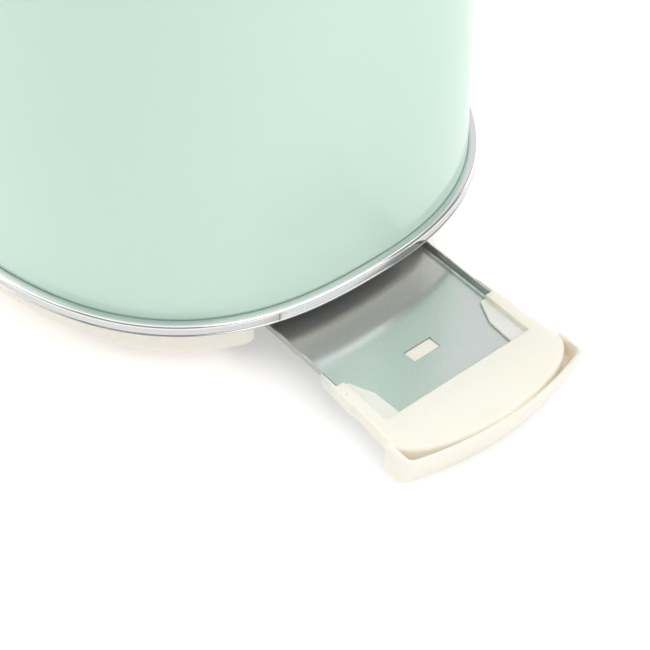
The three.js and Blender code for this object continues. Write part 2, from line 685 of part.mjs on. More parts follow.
function dialKnob() {
  const face = endFace(0, KNOB_Z);
  const skirt = cylinderX(0, KNOB_Z, face - 8, face - 3.4, KNOB_RADIUS, 36, KNOB_RADIUS - 0.8);
  const grip = cylinderX(0, KNOB_Z, face - 17, face - 7, KNOB_RADIUS - 2.2, 36, KNOB_RADIUS - 4);
  const wing = box(face - 19, face - 7, -2.4, 2.4, KNOB_Z - 11, KNOB_Z + 11);
  const bore = cylinderX(0, KNOB_Z, face - 11, face, 3 + GAP, 20);
  return cut(join(skirt, grip, wing), bore);
}

function dialBezel() {
  const disc = cylinderX(0, KNOB_Z, -170, -130, KNOB_RADIUS + 3, 40);
  return cut(housingSkin(1.4).intersect(disc), cylinderX(0, KNOB_Z, -172, -128, 5, 20));
}

function dialShaft() {
  const face = endFace(0, KNOB_Z);
  return cylinderX(0, KNOB_Z, face - 11 + GAP, BOARD_X - 8 - GAP, 3, 16);
}

const dialBox = () => box(BOARD_X - 8, BOARD_X - GAP, -9, 9, KNOB_Z - 9, KNOB_Z + 9);

function leverTrim() {
  const low = LEVER_Z - CARRIAGE_TRAVEL - 5;
  const high = LEVER_Z + 5;
  const plate = prismX(roundedStrip(low - 5, high + 5, 8.5), -170, -130);
  const hole = prismX(roundedStrip(low, high, 2.9), -172, -128);
  return cut(housingSkin(0.8).intersect(plate), hole);
}

// A strip with round ends, standing on Z, as [height, y] points
function roundedStrip(low, high, radius, steps = 8) {
  const arc = (centre, start) => Array.from({ length: steps + 1 }, (_, i) => {
    const turn = start + (Math.PI * i) / steps;
    return [centre + radius * Math.cos(turn), radius * Math.sin(turn)];
  });
  return [...arc(high - radius, -Math.PI / 2), ...arc(low + radius, Math.PI / 2)];
}

// An outline of [height, y] points carried along X
const prismX = (outline, x0, x1) => prism(outline, -x1, -x0).rotate([0, -90, 0]);

function terminalBlock() {
  const block = box(-118, -98, 30, 54, PLATE_FOOT, PLATE_FOOT + 12);
  const ways = [36, 42, 48].map((y) => cylinderZ(-108, y, PLATE_FOOT + 8, PLATE_FOOT + 20, 1.8, 12));
  return cut(block, ...ways);
}

// ---------------------------------------------------------------- assembly

// The origin is the middle of the whole footprint, tray drawn out, on the surface it stands on
const FOOTPRINT_SHIFT = -(PANEL_FRONT - 176) / 2;

const group = new THREE.Group();
group.position.x = FOOTPRINT_SHIFT;

function add(name, solid, material) {
  const mesh = new THREE.Mesh(toGeometry(solid), material);
  mesh.name = name;
  group.add(mesh);
}

add('body_shell', bodyShell(), MATERIAL.paint);
add('top_plate', topPlate(), MATERIAL.chrome);
add('base_trim', baseTrim(), MATERIAL.chrome);
add('base_pan', basePan(), MATERIAL.ivory);
footPlaces().forEach(([x, y], i) => {
  add(`foot_${i + 1}`, foot(x, y), MATERIAL.rubber);
  add(`base_screw_${i + 1}`, baseScrew(x, y), MATERIAL.steel);
});
add('cord_gland', cordGland(), MATERIAL.black);

add('tray_sheet', traySheet(), MATERIAL.zinc);
add('tray_handle', trayHandle(), MATERIAL.ivory);
add('tray_catch', trayCatch(), MATERIAL.steel);

add('chassis_floor', chassisFloor(), MATERIAL.steel);
add('end_plate_lever', endPlate(-1), MATERIAL.steel);
add('end_plate_tray', endPlate(1), MATERIAL.steel);
for (const [name, side] of [['left', 1], ['right', -1]]) {
  add(`reflector_${name}`, reflector(side), MATERIAL.zinc);
  add(`element_board_${name}`, elementBoard(side * BOARD_Y), MATERIAL.mica);
  add(`heating_wire_${name}`, heatingWire(side * (BOARD_Y - 0.5), -side), MATERIAL.nichrome);
  add(`heating_wire_centre_${name}`, heatingWire(side * 0.5, side), MATERIAL.nichrome);
  add(`bread_guide_outer_${name}`, breadGuide(side * (SLOT_Y + GUIDE_OFFSET)), MATERIAL.steel);
  add(`bread_guide_inner_${name}`, breadGuide(side * (SLOT_Y - GUIDE_OFFSET)), MATERIAL.steel);
  add(`bread_rack_${name}`, breadRack(side), MATERIAL.steel);
  add(`guide_rod_${name}`, guideRod(side), MATERIAL.steel);
}
add('element_board_centre', elementBoard(0), MATERIAL.mica);

add('carriage_bracket', carriageBracket(), MATERIAL.steel);
add('lever_arm', leverArm(), MATERIAL.steel);
add('lever_knob', leverKnob(), MATERIAL.chrome);
add('armature_plate', armaturePlate(), MATERIAL.steel);
add('magnet_core', magnetCore(), MATERIAL.steel);
add('magnet_coil', magnetCoil(), MATERIAL.copper);
add('top_bracket', topBracket(), MATERIAL.steel);
add('return_spring', returnSpring(), MATERIAL.steel);

add('control_board', controlBoard(), MATERIAL.board);
for (const [name, z] of Object.entries(BUTTON_HEIGHTS)) {
  add(`button_${name}`, button(z), MATERIAL.ivory);
  add(`button_ring_${name}`, buttonRing(z), MATERIAL.chrome);
  add(`switch_${name}`, switchBlock(z), MATERIAL.black);
}
add('browning_knob', dialKnob(), MATERIAL.chrome);
add('dial_bezel', dialBezel(), MATERIAL.chrome);
add('dial_shaft', dialShaft(), MATERIAL.steel);
add('dial_potentiometer', dialBox(), MATERIAL.black);
add('lever_trim', leverTrim(), MATERIAL.chrome);
add('terminal_block', terminalBlock(), MATERIAL.black);

export default group;
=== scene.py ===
"""Looks of the two-slice toaster with its crumb tray drawn out.

Pieces are built in millimetres, with X measured from the middle of the housing,
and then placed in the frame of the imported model, in metres.
"""

import json
import math

import bmesh
import bpy
import numpy as np
from mathutils import Matrix, Vector


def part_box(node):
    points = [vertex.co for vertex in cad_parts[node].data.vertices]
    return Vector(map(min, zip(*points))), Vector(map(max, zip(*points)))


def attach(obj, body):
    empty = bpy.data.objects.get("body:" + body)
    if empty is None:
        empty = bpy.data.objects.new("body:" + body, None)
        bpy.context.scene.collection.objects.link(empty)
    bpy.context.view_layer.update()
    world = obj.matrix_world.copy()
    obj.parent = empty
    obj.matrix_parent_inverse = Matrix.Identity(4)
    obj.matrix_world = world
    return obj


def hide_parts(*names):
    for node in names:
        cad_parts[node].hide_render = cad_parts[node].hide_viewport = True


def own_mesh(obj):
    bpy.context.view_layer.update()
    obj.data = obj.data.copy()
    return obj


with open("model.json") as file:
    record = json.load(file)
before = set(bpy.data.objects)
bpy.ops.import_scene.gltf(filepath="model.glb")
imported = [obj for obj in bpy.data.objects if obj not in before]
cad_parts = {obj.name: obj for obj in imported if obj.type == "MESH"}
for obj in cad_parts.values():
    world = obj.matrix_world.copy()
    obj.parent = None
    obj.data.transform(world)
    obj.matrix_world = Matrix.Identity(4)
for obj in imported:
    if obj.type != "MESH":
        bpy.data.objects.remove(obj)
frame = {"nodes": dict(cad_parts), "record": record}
scene = bpy.context.scene
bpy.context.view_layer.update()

# ---------------------------------------------------------------- frame

MM = 0.001
SHELL_LO, SHELL_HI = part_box("body_shell")
CENTRE_X = (SHELL_LO.x + SHELL_HI.x) / 2
TO_FRAME = Matrix.Translation((CENTRE_X, 0, 0)) @ Matrix.Scale(MM, 4)


def span(node):
    """A CAD node's lowest and highest corner in mm, X from the middle of the housing."""
    lo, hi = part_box(node)
    shift = Vector((CENTRE_X, 0, 0))
    return (lo - shift) / MM, (hi - shift) / MM


HALF_LENGTH = (SHELL_HI.x - SHELL_LO.x) / 2 / MM
HALF_WIDTH = (SHELL_HI.y - SHELL_LO.y) / 2 / MM
SHELL_BOTTOM = SHELL_LO.z / MM
SHELL_TOP = SHELL_HI.z / MM
# In plan the housing is |x / HALF_LENGTH| ** POWER_X + |y / HALF_WIDTH| ** POWER_Y = 1. Its walls
# lean in by TAPER, and its shoulder comes in by SHOULDER_INSET more, the fuller the higher its power.
POWER_X = 3.06
POWER_Y = 2.47
TAPER = 0.02
SHOULDER_INSET = 41.5
SHOULDER_POWER = 5

# ---------------------------------------------------------------- meshes


def make(name, points, faces, sharp=35):
    """A mesh object from points in mm, shaded smooth but for edges sharper than the angle."""
    mesh = bpy.data.meshes.new(name)
    mesh.from_pydata([tuple(map(float, p)) for p in points], [], faces)
    mesh.transform(TO_FRAME)
    obj = bpy.data.objects.new(name, mesh)
    scene.collection.objects.link(obj)
    tidy(obj, sharp)
    return obj


def tidy(obj, sharp=35):
    """Outward normals and smooth shading."""
    work = bmesh.new()
    work.from_mesh(obj.data)
    bmesh.ops.recalc_face_normals(work, faces=work.faces)
    work.to_mesh(obj.data)
    work.free()
    obj.data.shade_smooth()
    obj.data.set_sharp_from_angle(angle=math.radians(sharp))


def bake_modifiers(obj, sharp=35):
    """Applies a piece's modifiers to its mesh."""
    graph = bpy.context.evaluated_depsgraph_get()
    mesh = bpy.data.meshes.new_from_object(obj.evaluated_get(graph))
    obj.modifiers.clear()
    obj.data = mesh
    tidy(obj, sharp)
    return obj


def discard(*objs):
    for obj in objs:
        bpy.data.objects.remove(obj)


def combine(target, tools, operation="DIFFERENCE", sharp=35):
    """Cuts the tools from the target, or joins them to it, and takes the tools away."""
    for tool in tools:
        step = target.modifiers.new("step", "BOOLEAN")
        step.operation = operation
        step.solver = "MANIFOLD"
        step.object = tool
    bake_modifiers(target, sharp)
    discard(*tools)
    return target


def gather(name, objs, sharp=35):
    """Several shells as one object."""
    points, faces = [], []
    for obj in objs:
        start = len(points)
        points += [v.co.copy() for v in obj.data.vertices]
        faces += [[start + i for i in p.vertices] for p in obj.data.polygons]
    mesh = bpy.data.meshes.new(name)
    mesh.from_pydata(points, [], faces)
    discard(*objs)
    obj = bpy.data.objects.new(name, mesh)
    scene.collection.objects.link(obj)
    tidy(obj, sharp)
    return obj


def loft(name, rings, closed=False, sharp=35):
    """A skin through rings of equal count, capped at both ends or closed into a loop of rings."""
    count = len(rings[0])
    points = [p for ring in rings for p in ring]
    faces = []
    for level in range(len(rings) if closed else len(rings) - 1):
        a, b = level * count, (level + 1) % len(rings) * count
        for i in range(count):
            j = (i + 1) % count
            faces.append([a + i, a + j, b + j, b + i])
    if not closed:
        faces.append(list(range(count)))
        faces.append([(len(rings) - 1) * count + i for i in range(count)])
    return make(name, points, faces, sharp)


def prism(name, outline, z0, z1):
    return loft(name, [[(x, y, z) for x, y in outline] for z in (z0, z1)])


def box(name, x0, x1, y0, y1, z0, z1):
    return prism(name, [(x0, y0), (x1, y0), (x1, y1), (x0, y1)], z0, z1)


def lathe(name, profile, centre, axis="Z", steps=64, sharp=35):
    """A turned piece from (radius, height) points; a radius of 0 closes it on the axis."""
    points, rows = [], []
    for radius, height in profile:
        if radius == 0:
            rows.append([len(points)] * steps)
            points.append((0, 0, height))
            continue
        rows.append(list(range(len(points), len(points) + steps)))
        for i in range(steps):
            turn = 2 * math.pi * i / steps
            points.append((radius * math.cos(turn), radius * math.sin(turn), height))
    faces = []
    pairs = list(zip(rows, rows[1:]))
    if profile[0][0] and profile[-1][0]:
        pairs.append((rows[-1], rows[0]))
    for low, high in pairs:
        for i in range(steps):
            j = (i + 1) % steps
            ring = [low[i], low[j], high[j], high[i]]
            faces.append(list(dict.fromkeys(ring)))
    if axis == "X":
        points = [(z, x, y) for x, y, z in points]
    return make(name, [Vector(p) + Vector(centre) for p in points], faces, sharp)


def rod(name, radius, length, centre, axis="Z", steps=32):
    """A plain cylinder that starts at the centre."""
    return lathe(name, [(0, 0), (radius, 0), (radius, length), (0, length)], centre, axis, steps)


def tube(name, path, radius, sides=10, closed=False):
    """A round wire along a path of points."""
    path = [Vector(p) for p in path]
    count = len(path)
    tangents = []
    for i in range(count):
        before = path[i - 1] if i or closed else path[0]
        after = path[(i + 1) % count] if i + 1 < count or closed else path[-1]
        tangents.append((after - before).normalized())
    seed = Vector((0, 0, 1)) if abs(tangents[0].z) < 0.9 else Vector((1, 0, 0))
    normal = tangents[0].cross(seed).normalized()
    rings = []
    for point, tangent in zip(path, tangents):
        normal = (normal - tangent * normal.dot(tangent)).normalized()
        side = tangent.cross(normal)
        ring = []
        for k in range(sides):
            turn = 2 * math.pi * k / sides
            ring.append(point + (normal * math.cos(turn) + side * math.sin(turn)) * radius)
        rings.append(ring)
    return loft(name, rings, closed, sharp=60)


def soften(obj, width, segments=2, angle=40):
    """Small rounded edges."""
    step = obj.modifiers.new("edges", "BEVEL")
    step.width = width * MM
    step.segments = segments
    step.limit_method = "ANGLE"
    step.angle_limit = math.radians(angle)
    step.use_clamp_overlap = True
    return obj


def moulded(obj, voxel=0.35, rounds=3):
    """The even, slightly rounded skin of a moulded piece."""
    step = obj.modifiers.new("skin", "REMESH")
    step.mode = "VOXEL"
    step.voxel_size = voxel * MM
    step.use_smooth_shade = True
    melt = obj.modifiers.new("melt", "SMOOTH")
    melt.factor = 0.5
    melt.iterations = rounds
    return bake_modifiers(obj, 80)


# ---------------------------------------------------------------- outlines


def power(value, exponent):
    """A power that keeps the sign."""
    return np.sign(value) * np.abs(value) ** exponent


def oval(inset, turns):
    """The housing's oval in plan, shrunk on both half axes."""
    x = (HALF_LENGTH - inset) * power(np.cos(turns), 2 / POWER_X)
    y = (HALF_WIDTH - inset) * power(np.sin(turns), 2 / POWER_Y)
    return np.stack([x, y], 1)


def even_turns(count):
    """Turns at even steps along the oval."""
    fine = np.linspace(0, 2 * math.pi, 8001)
    steps = np.hypot(*np.diff(oval(0, fine), axis=0).T)
    along = np.concatenate([[0], np.cumsum(steps)])
    return np.interp(np.arange(count) * along[-1] / count, along, fine)


TURNS = even_turns(384)


def oval_normals(turns):
    """Outward directions at points of the oval."""
    x, y = oval(0, turns).T
    slope_x = POWER_X / HALF_LENGTH * power(x / HALF_LENGTH, POWER_X - 1)
    slope_y = POWER_Y / HALF_WIDTH * power(y / HALF_WIDTH, POWER_Y - 1)
    length = np.hypot(slope_x, slope_y)
    return np.stack([slope_x / length, slope_y / length], 1)


def ring(outline, z):
    return [(x, y, z) for x, y in outline]


def shrunk_ring(inset, z):
    return ring(oval(inset, TURNS), z)


def offset_ring(offset, z):
    return ring(oval(0, TURNS) + offset * oval_normals(TURNS), z)


def arc(centre, radii, start, end, steps):
    """Points on an ellipse's arc, in degrees, as (offset, height)."""
    found = []
    for i in range(steps + 1):
        turn = math.radians(start + (end - start) * i / steps)
        found.append((centre[0] + radii[0] * math.cos(turn), centre[1] + radii[1] * math.sin(turn)))
    return found


def rounded_slot(half_x, half_y, centre_y, radius, steps=10):
    """A rectangle with round corners, in plan."""
    points = []
    for sx, sy, start in [(1, -1, -90), (1, 1, 0), (-1, 1, 90), (-1, -1, 180)]:
        corner = (sx * (half_x - radius), centre_y + sy * (half_y - radius))
        points += arc(corner, (radius, radius), start, start + 90, steps)
    return points


# ---------------------------------------------------------------- materials


class Look:
    """A material of a Principled shader and the nodes that drive it."""

    def __init__(self, name, **sockets):
        self.material = bpy.data.materials.new(name)
        self.material.use_nodes = True
        self.tree = self.material.node_tree
        self.shader = self.tree.nodes["Principled BSDF"]
        for key, value in sockets.items():
            self.shader.inputs[key.replace("_", " ")].default_value = value

    def add(self, kind, settings=(), **sockets):
        """A node with its settings, and its inputs fed by name, or by number as i0, i1 and so on."""
        node = self.tree.nodes.new(kind)
        for key, value in dict(settings).items():
            setattr(node, key, value)
        for key, value in sockets.items():
            self.feed(node, key.replace("_", " "), value)
        return node

    def feed(self, node, key, value):
        """Links an output to an input, or sets the input to a value."""
        numbered = key[0] == "i" and key[1:].isdigit()
        socket = node.inputs[int(key[1:]) if numbered else key]
        if isinstance(value, bpy.types.NodeSocket):
            self.tree.links.new(value, socket)
        else:
            socket.default_value = value

    def place(self, scale=(1, 1, 1)):
        """Object coordinates in metres, scaled."""
        where = self.add("ShaderNodeTexCoord").outputs["Object"]
        return self.add("ShaderNodeMapping", Vector=where, Scale=scale).outputs["Vector"]

    def noise(self, scale, detail=3, rough=0.5, stretch=(1, 1, 1)):
        where = self.place(stretch)
        node = self.add("ShaderNodeTexNoise", Vector=where, Scale=scale, Detail=detail, Roughness=rough)
        return node.outputs["Fac"]

    def spread(self, value, low, high, start=0.3, end=0.7):
        """A value's middle range stretched between low and high."""
        node = self.add("ShaderNodeMapRange", Value=value)
        for key, number in [("From Min", start), ("From Max", end), ("To Min", low), ("To Max", high)]:
            node.inputs[key].default_value = number
        return node.outputs["Result"]

    def tint(self, fac, first, second):
        """A mix of two colours."""
        node = self.add("ShaderNodeMix", {"data_type": "RGBA"})
        self.tree.links.new(fac, node.inputs[0])
        node.inputs[6].default_value = (*first, 1)
        node.inputs[7].default_value = (*second, 1)
        return node.outputs[2]

    def colour(self, value):
        self.feed(self.shader, "Base Color", value)

    def roughness(self, value):
        self.feed(self.shader, "Roughness", value)

    def bump(self, height, strength, depth):
        """Relief of a depth in mm."""
        node = self.add("ShaderNodeBump", Height=height, Strength=strength, Distance=depth * MM)
        self.tree.links.new(node.outputs["Normal"], self.shader.inputs["Normal"])


def enamel():
    """Glossy mint enamel with a slight drift of tone."""
    look = Look("enamel", IOR=1.48, Coat_Weight=0.15, Coat_Roughness=0.05, Coat_IOR=1.5)
    drift = look.spread(look.noise(9, 2), 0, 1)
    look.colour(look.tint(drift, (0.60, 0.805, 0.69), (0.62, 0.82, 0.71)))
    look.roughness(look.spread(look.noise(40, 3), 0.16, 0.22))
    look.bump(look.noise(700, 2), 0.03, 0.05)
    return look.material


def chrome(name="chrome", crest=None):
    """Bright plating, painted brighter above the crest's height in mm: painted light that lifts the shade
    along the groove beside the housing.
    """
    look = Look(name, Metallic=1.0)
    shade = look.tint(look.spread(look.noise(60, 3), 0, 1), (0.60, 0.60, 0.61), (0.63, 0.63, 0.635))
    if crest:
        # Painted light: above the crest height the plating gets a brighter colour, lifting the shade in
        # the groove beside the housing.
        height = look.add("ShaderNodeSeparateXYZ", Vector=look.place()).outputs["Z"]
        painted_light_above = look.spread(height, 0, 1, (crest - 0.3) * MM, (crest + 0.3) * MM)
        node = look.add("ShaderNodeMix", {"data_type": "RGBA"}, i0=painted_light_above, i6=shade)
        node.inputs[7].default_value = (0.82, 0.825, 0.83, 1)
        shade = node.outputs[2]
    look.colour(shade)
    lines = look.noise(60, 4, 0.7, (1, 1, 60))
    look.roughness(look.spread(lines, 0.05, 0.14))
    look.bump(lines, 0.06, 0.02)
    return look.material


def sheet_metal():
    """Coated sheet, with painted shade on its upright sides: they get a darker colour than its flat."""
    look = Look("aluminised", Metallic=0.72)
    grain = look.noise(900, 3, 0.7)
    cloud = look.noise(35, 4, 0.6)
    flat = look.tint(look.spread(grain, 0, 1), (0.65, 0.69, 0.675), (0.71, 0.745, 0.73))
    normal = look.add("ShaderNodeNewGeometry").outputs["True Normal"]
    facing = look.add("ShaderNodeSeparateXYZ", Vector=normal)
    level = look.add("ShaderNodeMath", {"operation": "ABSOLUTE"}, i0=facing.outputs["Z"]).outputs[0]
    painted_side_shade_mask = look.spread(level, 0, 1, 0.2, 0.8)
    # Painted shade: faces that stand upright get a darker grey-green than the flat, standing in for the
    # shadow they reflect.
    node = look.add("ShaderNodeMix", {"data_type": "RGBA"}, i0=painted_side_shade_mask, i7=flat)
    node.inputs[6].default_value = (0.46, 0.49, 0.47, 1)
    look.colour(node.outputs[2])
    look.roughness(look.spread(cloud, 0.15, 0.21))
    look.bump(grain, 0.10, 0.03)
    return look.material


def ivory():
    """Satin cream plastic that lets a little light through."""
    look = Look("ivory", IOR=1.46, Subsurface_Weight=0.6, Subsurface_Scale=0.003)
    look.shader.inputs["Subsurface Radius"].default_value = (1.0, 0.75, 0.45)
    cloud = look.spread(look.noise(45, 3), 0, 1)
    look.colour(look.tint(cloud, (0.955, 0.875, 0.785), (0.97, 0.89, 0.81)))
    look.roughness(look.spread(look.noise(160, 3), 0.36, 0.5))
    look.bump(look.noise(1500, 2), 0.05, 0.03)
    return look.material


def steel(name="steel", shade=0.5, rough=(0.3, 0.45), stretch=(1, 1, 30)):
    """Plain metal with fine lines, square to the axis that is stretched most."""
    look = Look(name, Metallic=1.0)
    lines = look.noise(90, 4, 0.6, stretch)
    look.colour(look.tint(look.spread(lines, 0, 1), (shade * 0.92,) * 3, (shade, shade, shade * 1.02)))
    look.roughness(look.spread(lines, *rough))
    look.bump(lines, 0.08, 0.03)
    return look.material


def matte(name, first, second, rough=(0.5, 0.7), grain=400, depth=0.05, **sockets):
    """A mottled colour with a fine grain, on plastic unless the sockets say otherwise."""
    look = Look(name, **sockets)
    look.colour(look.tint(look.spread(look.noise(grain / 6, 4), 0, 1), first, second))
    look.roughness(look.spread(look.noise(grain / 3, 3), *rough))
    look.bump(look.noise(grain, 3), 0.15, depth)
    return look.material


MICA = ((0.52, 0.40, 0.22), (0.70, 0.58, 0.38))
COPPER = ((0.45, 0.13, 0.04), (0.60, 0.21, 0.08))
GREEN_BOARD = ((0.02, 0.13, 0.05), (0.03, 0.18, 0.08))
DARK_RUBBER = ((0.028, 0.028, 0.03), (0.045, 0.045, 0.047))
BLACK = ((0.018, 0.018, 0.019), (0.03, 0.03, 0.031))
LOOKS = {
    "paint": enamel(),
    "chrome": chrome(),
    "ivory": ivory(),
    "zinc_sheet": sheet_metal(),
    "steel": steel(),
    "mica": matte("mica", *MICA, (0.35, 0.6), 300, 0.08),
    "nichrome": steel("nichrome", 0.30, (0.4, 0.55), (40, 1, 1)),
    "rubber": matte("rubber", *DARK_RUBBER, (0.65, 0.85), 900),
    "copper": matte("enamelled_copper", *COPPER, (0.25, 0.35), 500, 0.03, Metallic=0.9),
    "board": matte("circuit_board", *GREEN_BOARD, (0.35, 0.5), 600, 0.03),
    "black_plastic": matte("black_plastic", *BLACK, (0.35, 0.5), 1200, 0.02),
}
SLOT_OF = {row["node"]: row["material_slot"] for row in frame["record"]["subparts"]}
BODY_OF = {}
for body, members in frame["record"]["behaviour"]["bodies"].items():
    for member in members:
        BODY_OF[member] = body


def finish(obj, node):
    """Gives a piece the material and the body of the CAD node it stands for."""
    obj.data.materials.clear()
    obj.data.materials.append(LOOKS[SLOT_OF[node]])
    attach(obj, BODY_OF[node])
    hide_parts(node)
    return obj


# ---------------------------------------------------------------- housing


def shoulder(inset, bottom, top, low, count=30):
    """(inset, z) points up the side wall and over the shoulder."""
    heights = list(np.linspace(low, 0.8, 14))
    turns = np.linspace(math.asin(0.8 ** (SHOULDER_POWER / 2)), math.pi / 2, count)[1:]
    heights += [math.sin(t) ** (2 / SHOULDER_POWER) for t in turns]
    found = []
    for u in heights:
        drop = 1 - math.sqrt(max(0.0, 1 - u**SHOULDER_POWER))
        rise = u * (top - bottom)
        found.append((inset + TAPER * rise + SHOULDER_INSET * drop, bottom + rise))
    return found


def housing():
    """The enamelled shell: straight leaning walls, a rounded shoulder and holes for the controls."""
    b, t = SHELL_BOTTOM, SHELL_TOP
    outer = [(0.95, b + 0.25), (0.75, b + 0.05), (0.3, b), (0.1, b + 0.05), (0.02, b + 0.2)]
    outer += shoulder(0, b, t, 0.006)
    lip = [(48.9, t), (49.3, t - 0.15), (49.5, t - 0.5), (49.5, t - 1)]
    inner = shoulder(1, b, t - 1, 0.006)[::-1]
    rings = [shrunk_ring(inset, z) for inset, z in outer + lip + inner]
    shell = loft("housing_shell", rings, closed=True)
    lo, hi = span("lever_trim")
    slot_low, slot_high = lo.z + 5, hi.z - 5
    tools = [box("tool", -160, -140, -3.2, 3.2, slot_low, slot_high)]
    radii = {"browning_knob": 4.2, "button_cancel": 6.1, "button_reheat": 6.1, "button_defrost": 6.1}
    for node, radius in radii.items():
        lo, hi = span(node)
        centre = (-160, (lo.y + hi.y) / 2, (lo.z + hi.z) / 2)
        tools.append(rod("tool", radius, 20, centre, "X", 48))
    combine(shell, tools)
    finish(shell, "body_shell")


housing()


def slot_plate():
    """The top plate, with a raised rim round each bread slot."""
    lo, hi = span("top_plate")
    top = hi.z
    bottom = SHELL_TOP + 0.35
    inset = HALF_LENGTH - hi.x
    edge = [(inset + 2.4, bottom), (inset + 0.4, bottom), (inset, bottom + 0.3)]
    edge += [(inset + 0.15, top - 0.45), (inset + 0.7, top - 0.2), (inset + 2.4, top - 0.2)]
    plate = loft("slot_plate", [shrunk_ring(i, z) for i, z in edge])
    holes, rims = [], []
    for side in (-1, 1):
        outline = rounded_slot(70.8, 14.8, side * 21, 6.8)
        holes.append(prism("tool", outline, bottom - 2, top + 2))
        section = [(0, lo.z), (0, top - 1.1)]
        section += arc((1.9, top - 1.1), (1.9, 1.05), 180, 0, 12)
        section += [(3.8, bottom + 0.2), (1.2, bottom + 0.2), (1.2, lo.z)]
        rings = [ring(rounded_slot(70 + d, 14 + d, side * 21, 6 + d), z) for d, z in section]
        rims.append(loft("rim", rings, closed=True))
    combine(plate, holes)
    finish(gather("slot_plate", [plate, *rims]), "top_plate")


slot_plate()


def trim_band():
    """The bright band: a bead beside the housing and an upright face."""
    lo, hi = span("base_trim")
    proud = hi.x - HALF_LENGTH
    low = lo.z
    foot = arc((proud - 0.6, low + 0.5), (0.55, 0.45), -90, 62, 9)
    foot += [(proud - 0.3, low + 1.12), (proud - 0.12, low + 1.3), (proud - 0.02, low + 1.6)]
    bead = []
    for i in range(25):
        turn = math.radians(90 * i / 24)
        across, up = power(math.cos(turn), 0.62), power(math.sin(turn), 0.62)
        bead.append((1.5 + (proud - 1.5) * across, low + 3.5 + 1.55 * up))
    valley = arc((1.5, low + 4.55), (1.38, 0.5), 90, 172, 12)[1:]
    section = [(-2, low + 0.05), *foot, *bead, *valley, (-0.5, low + 4.45), (-2, low + 4)]
    rings = [offset_ring(offset, z) for offset, z in section]
    band = loft("trim_band", rings, closed=True, sharp=50)
    joint = box("tool", 140, 160, -36.3, -35.95, low - 1, low + 4.1)
    inner = loft("tool", [offset_ring(o, z) for o, z in [(proud - 0.7, low - 2), (proud - 0.7, low + 7)]])
    combine(joint, [inner])
    combine(band, [joint], sharp=50)
    finish(band, "base_trim")
    # The band's plating is painted brighter above the crest, as painted light against the shade in the
    # groove.
    band.data.materials[0] = chrome("chrome_band", low + 3.9)


trim_band()


MOUTH_BACK = 122
MOUTH_TOP = 18
MOUTH_HALF = 40.5
CHANNEL_HALF = 38.6
FEET = ("foot_1", "foot_2", "foot_3", "foot_4")


def middle(node):
    """The X and Y of a CAD node's middle, in mm."""
    lo, hi = span(node)
    return (lo.x + hi.x) / 2, (lo.y + hi.y) / 2


def base_pan():
    """A moulded tub with a rim under the band, a mouth for the tray, ribs, vents and screw bosses."""
    lo, hi = span("base_pan")
    bottom, top = lo.z, hi.z
    section = [(-14, bottom), (-10.5, bottom + 0.25), (-8, bottom + 1.2), (-5.4, bottom + 3.1)]
    section += [(-4.4, bottom + 3.75), (-3.9, bottom + 4.35), (-3.7, bottom + 5.2)]
    section += [(-3.1, bottom + 10), (-2.65, top - 1.3), (-2.3, top - 0.9)]
    section += [(2.3, top - 0.9), (2.6, top - 0.7), (2.6, top - 0.2), (2.4, top)]
    section += [(-4.6, top), (-5.1, bottom + 10), (-5.8, bottom + 5.7)]
    section += [(-10, bottom + 3), (-16, bottom + 2)]
    pan = loft("base_pan_moulded", [offset_ring(o, z) for o, z in section])
    combine(pan, [box("channel", 96, MOUTH_BACK + 1, -CHANNEL_HALF, CHANNEL_HALF, 8.5, top - 1)])
    floor_top = bottom + 2
    ribs = []
    for side in (-1, 1):
        ribs.append(box("rib", -84, MOUTH_BACK, side * 22 - 0.8, side * 22 + 0.8, floor_top - 1, 10.2))
        ribs.append(box("rib", -84, 98, side * 35.85 - 0.75, side * 35.85 + 0.75, floor_top - 1, 15))
    ribs.append(box("rib", -86, -84, -36.6, 36.6, floor_top - 1, 15))
    for node in FEET:
        x, y = middle(node)
        ribs.append(rod("boss", 6, 17.6, (x, y, floor_top - 1), steps=40))
    combine(pan, ribs, "UNION")
    edge = -MOUTH_HALF
    mouth = [(edge - 3, -2), *arc((edge - 3, bottom + 7.2), (3, 3), -90, 0, 10), (edge, MOUTH_TOP)]
    mouth += [(-y, z) for y, z in reversed(mouth)]
    tools = [loft("tool", [[(x, y, z) for y, z in mouth] for x in (MOUTH_BACK, 172)])]
    x, y = middle("cord_gland")
    tools.append(rod("tool", 6.5, 12, (x, y, 0), steps=48))
    for node in FEET:
        x, y = middle(node)
        tools.append(rod("tool", 2.3, 30, (x, y, 0), steps=24))
    for side in (-1, 1):
        for i in range(6):
            outline = rounded_slot(4, 12, 0, 3.9, 6)
            outline = [(px - 56 + 20 * i, py + side * 62) for px, py in outline]
            tools.append(prism("tool", outline, 0, 12))
    combine(pan, tools)
    finish(pan, "base_pan")


base_pan()

# ---------------------------------------------------------------- feet


